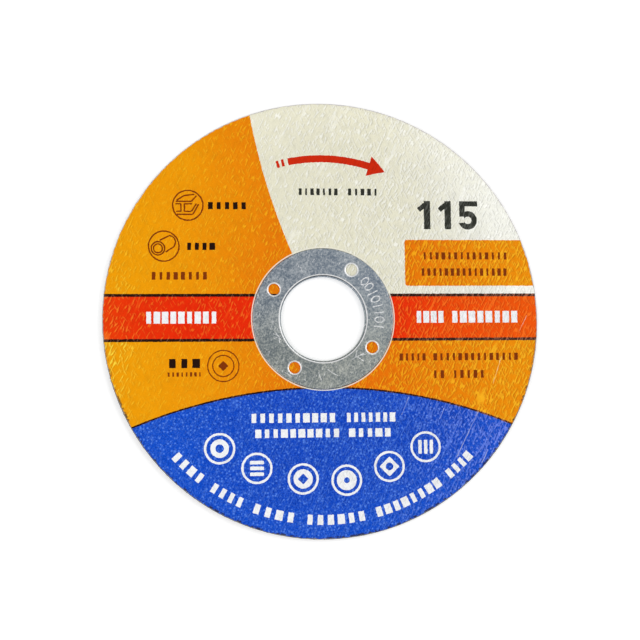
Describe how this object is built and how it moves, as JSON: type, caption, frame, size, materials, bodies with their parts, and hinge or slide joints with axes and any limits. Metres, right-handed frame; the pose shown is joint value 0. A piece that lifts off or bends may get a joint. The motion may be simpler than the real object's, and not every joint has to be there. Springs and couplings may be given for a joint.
{
  "type": "cut off wheel",
  "caption": "Thin flat abrasive disc with a printed paper label over its face and a flanged steel ring lining its bore, clamped on an angle grinder's spindle to cut metal.",
  "frame": {"origin": "middle of the bore at the wheel's back face, which is the face it lies on", "axes": "+Z along the bore's axis, out of the label's face; +X to the right and +Y up as the label reads"},
  "size_m": [0.115, 0.115, 0.0016],
  "materials": {
    "abrasive_mix": "rough pressed resin and grit with a glass net showing on the back",
    "printed_paper": "satin printed paper, crinkled over the grain",
    "tinned_steel": "dull tinned sheet with fine grain and scratches"
  },
  "bodies": {
    "root": {"abrasive_disc": "abrasive_mix", "paper_label": "printed_paper", "centre_ring": "tinned_steel"}
  },
  "joints": []
}
